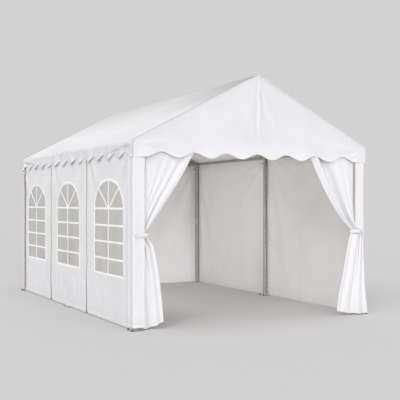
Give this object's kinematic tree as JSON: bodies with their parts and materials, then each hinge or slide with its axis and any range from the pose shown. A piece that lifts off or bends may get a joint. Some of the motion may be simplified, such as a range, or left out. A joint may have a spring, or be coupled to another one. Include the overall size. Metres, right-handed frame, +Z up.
{
  "type": "marquee tent",
  "caption": "White gable marquee tent on a steel tube frame, with arched windows along one side, scalloped valances and an open front with tied-back curtains.",
  "frame": {"origin": "middle of the tent on the ground, at the height of the undersides of the foot plates", "axes": "+X across the tent to the plain wall, +Y from the open front gable to the back, +Z up"},
  "size_m": [3.0598, 4.5902, 2.7799],
  "materials": {
    "galvanised_steel": "dull galvanised tube",
    "roof_cloth": "white coated cloth, satin",
    "wall_cloth": "white coated cloth, matt",
    "window_film": "clear flexible film",
    "zinc_screw": "yellow zinc, dull"
  },
  "bodies": {
    "root": {"apex_coupler_front": "galvanised_steel", "post_front_left": "galvanised_steel", "eave_coupler_front_left": "galvanised_steel", "rafter_front_left": "galvanised_steel", "post_front_right": "galvanised_steel", "eave_coupler_front_right": "galvanised_steel", "rafter_front_right": "galvanised_steel", "apex_coupler_middle": "galvanised_steel", "post_middle_left": "galvanised_steel", "eave_coupler_middle_left": "galvanised_steel", "rafter_middle_left": "galvanised_steel", "post_middle_right": "galvanised_steel", "eave_coupler_middle_right": "galvanised_steel", "rafter_middle_right": "galvanised_steel", "apex_coupler_back": "galvanised_steel", "post_back_left": "galvanised_steel", "eave_coupler_back_left": "galvanised_steel", "rafter_back_left": "galvanised_steel", "post_back_right": "galvanised_steel", "eave_coupler_back_right": "galvanised_steel", "rafter_back_right": "galvanised_steel", "eave_purlin_front_left": "galvanised_steel", "eave_purlin_front_right": "galvanised_steel", "ridge_purlin_front": "galvanised_steel", "tie_bar_front": "galvanised_steel", "eave_purlin_back_left": "galvanised_steel", "eave_purlin_back_right": "galvanised_steel", "ridge_purlin_back": "galvanised_steel", "tie_bar_back": "galvanised_steel", "roof_left": "roof_cloth", "roof_right": "roof_cloth", "gable_front": "roof_cloth", "gable_back": "roof_cloth", "valance_left": "roof_cloth", "valance_right": "roof_cloth", "wall_left_front": "wall_cloth", "wall_left_middle": "wall_cloth", "wall_left_back": "wall_cloth", "wall_right": "wall_cloth", "wall_back": "wall_cloth", "corner_cover_front_left": "wall_cloth", "corner_cover_front_right": "wall_cloth", "corner_cover_back_left": "wall_cloth", "corner_cover_back_right": "wall_cloth", "curtain_left": "wall_cloth", "curtain_right": "wall_cloth", "tieback_left": "wall_cloth", "tieback_right": "wall_cloth", "window_film_front": "window_film", "window_film_middle": "window_film", "window_film_back": "window_film"}
  },
  "joints": []
}
